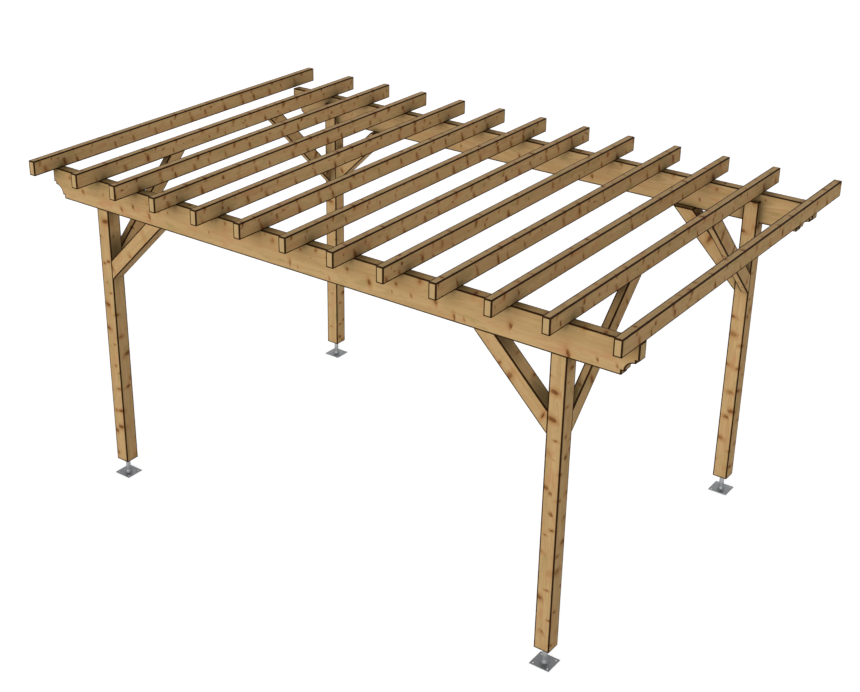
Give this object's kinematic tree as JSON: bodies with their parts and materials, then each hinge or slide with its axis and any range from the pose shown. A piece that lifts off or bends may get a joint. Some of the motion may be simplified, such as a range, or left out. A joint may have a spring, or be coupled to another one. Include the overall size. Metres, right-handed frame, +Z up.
{
  "type": "freestanding timber pergola",
  "caption": "Open timber pergola: posts on steel feet carry two shaped beams, a flat row of rafters and 45 degree braces at every post.",
  "frame": {"origin": "ground level, midway between the posts", "axes": "+X along the beams, +Y from the front beam to the rear beam, +Z up"},
  "size_m": [5.21, 3.42, 2.765],
  "materials": {
    "post_timber": "planed softwood, warm tan with darker knots",
    "beam_timber": "planed softwood, warm tan with darker knots",
    "rafter_timber": "planed softwood, warm tan with darker knots",
    "brace_timber": "planed softwood, warm tan with darker knots",
    "foot_steel": "dull hot-dip galvanised"
  },
  "bodies": {
    "root": {"post_front_left": "post_timber", "post_front_right": "post_timber", "post_rear_left": "post_timber", "post_rear_right": "post_timber", "beam_brace_front_left": "brace_timber", "beam_brace_front_right": "brace_timber", "beam_brace_rear_left": "brace_timber", "beam_brace_rear_right": "brace_timber", "rafter_brace_front_left": "brace_timber", "rafter_brace_front_right": "brace_timber", "rafter_brace_rear_left": "brace_timber", "rafter_brace_rear_right": "brace_timber", "foot_plate_front_left": "foot_steel", "foot_plate_front_right": "foot_steel", "foot_plate_rear_left": "foot_steel", "foot_plate_rear_right": "foot_steel", "foot_stem_front_left": "foot_steel", "foot_stem_front_right": "foot_steel", "foot_stem_rear_left": "foot_steel", "foot_stem_rear_right": "foot_steel", "beam_front": "beam_timber", "beam_rear": "beam_timber", "rafter_01": "rafter_timber", "rafter_02": "rafter_timber", "rafter_03": "rafter_timber", "rafter_04": "rafter_timber", "rafter_05": "rafter_timber", "rafter_06": "rafter_timber", "rafter_07": "rafter_timber", "rafter_08": "rafter_timber", "rafter_09": "rafter_timber", "rafter_10": "rafter_timber", "rafter_11": "rafter_timber", "rafter_12": "rafter_timber", "rafter_13": "rafter_timber"}
  },
  "joints": []
}
